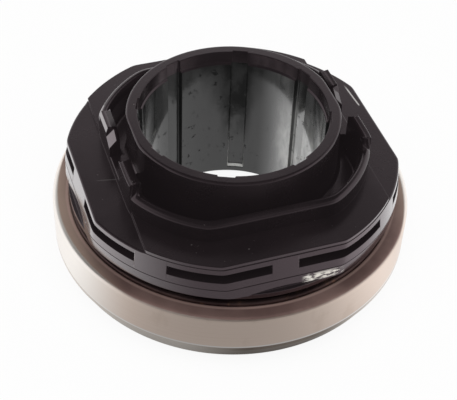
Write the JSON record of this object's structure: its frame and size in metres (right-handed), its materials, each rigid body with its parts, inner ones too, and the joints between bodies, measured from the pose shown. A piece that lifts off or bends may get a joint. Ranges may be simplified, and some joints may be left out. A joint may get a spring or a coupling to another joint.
{
  "type": "clutch release bearing",
  "caption": "Clutch release bearing: grooved black guide sleeve with a flatted fork flange and notched collar, on a self-centring ball bearing with a ground steel contact ring.",
  "frame": {"origin": "on the bearing's axis in the plane of the contact face, which is the lowest face", "axes": "+Z along the bore from the contact face to the sleeve's rim; the fork pads lie at +X and -X"},
  "size_m": [0.068, 0.068, 0.0309],
  "materials": {
    "black_plastic": "moulded, satin gloss with faint scuffs",
    "ground_steel": "ground band, brown-tinted faces",
    "bearing_steel": "ground and polished",
    "brown_shield": "phosphated brown",
    "spring_steel": "rolled strip",
    "pale_polymer": "natural moulded"
  },
  "bodies": {
    "housing": {"guide_sleeve": "black_plastic", "retainer_ring": "black_plastic", "wave_spring": "spring_steel"},
    "washer": {"friction_washer": "pale_polymer"},
    "race": {"inner_ring": "bearing_steel"},
    "rotor": {"outer_ring": "ground_steel", "upper_seal": "brown_shield"},
    "cage": {"ball_cage": "pale_polymer", "ball_01": "bearing_steel", "ball_02": "bearing_steel", "ball_03": "bearing_steel", "ball_04": "bearing_steel", "ball_05": "bearing_steel", "ball_06": "bearing_steel", "ball_07": "bearing_steel", "ball_08": "bearing_steel", "ball_09": "bearing_steel", "ball_10": "bearing_steel", "ball_11": "bearing_steel", "ball_12": "bearing_steel", "ball_13": "bearing_steel", "ball_14": "bearing_steel", "ball_15": "bearing_steel", "ball_16": "bearing_steel"}
  },
  "joints": [
    {"name": "float_x", "type": "slide", "parent": "housing", "child": "washer", "axis": [1, 0, 0], "range_m": [-0.0005, 0.0005]},
    {"name": "float_y", "type": "slide", "parent": "washer", "child": "race", "axis": [0, 1, 0], "range_m": [-0.0005, 0.0005]},
    {"name": "ring_spin", "type": "hinge", "parent": "race", "child": "rotor", "pos_m": [0, 0, 0], "axis": [0, 0, 1], "continuous": true},
    {"name": "cage_spin", "type": "hinge", "parent": "race", "child": "cage", "pos_m": [0, 0, 0], "axis": [0, 0, 1], "continuous": true}
  ],
  "couplings": [
    {"joint": "cage_spin", "follows": "ring_spin", "ratio": 0.559}
  ]
}
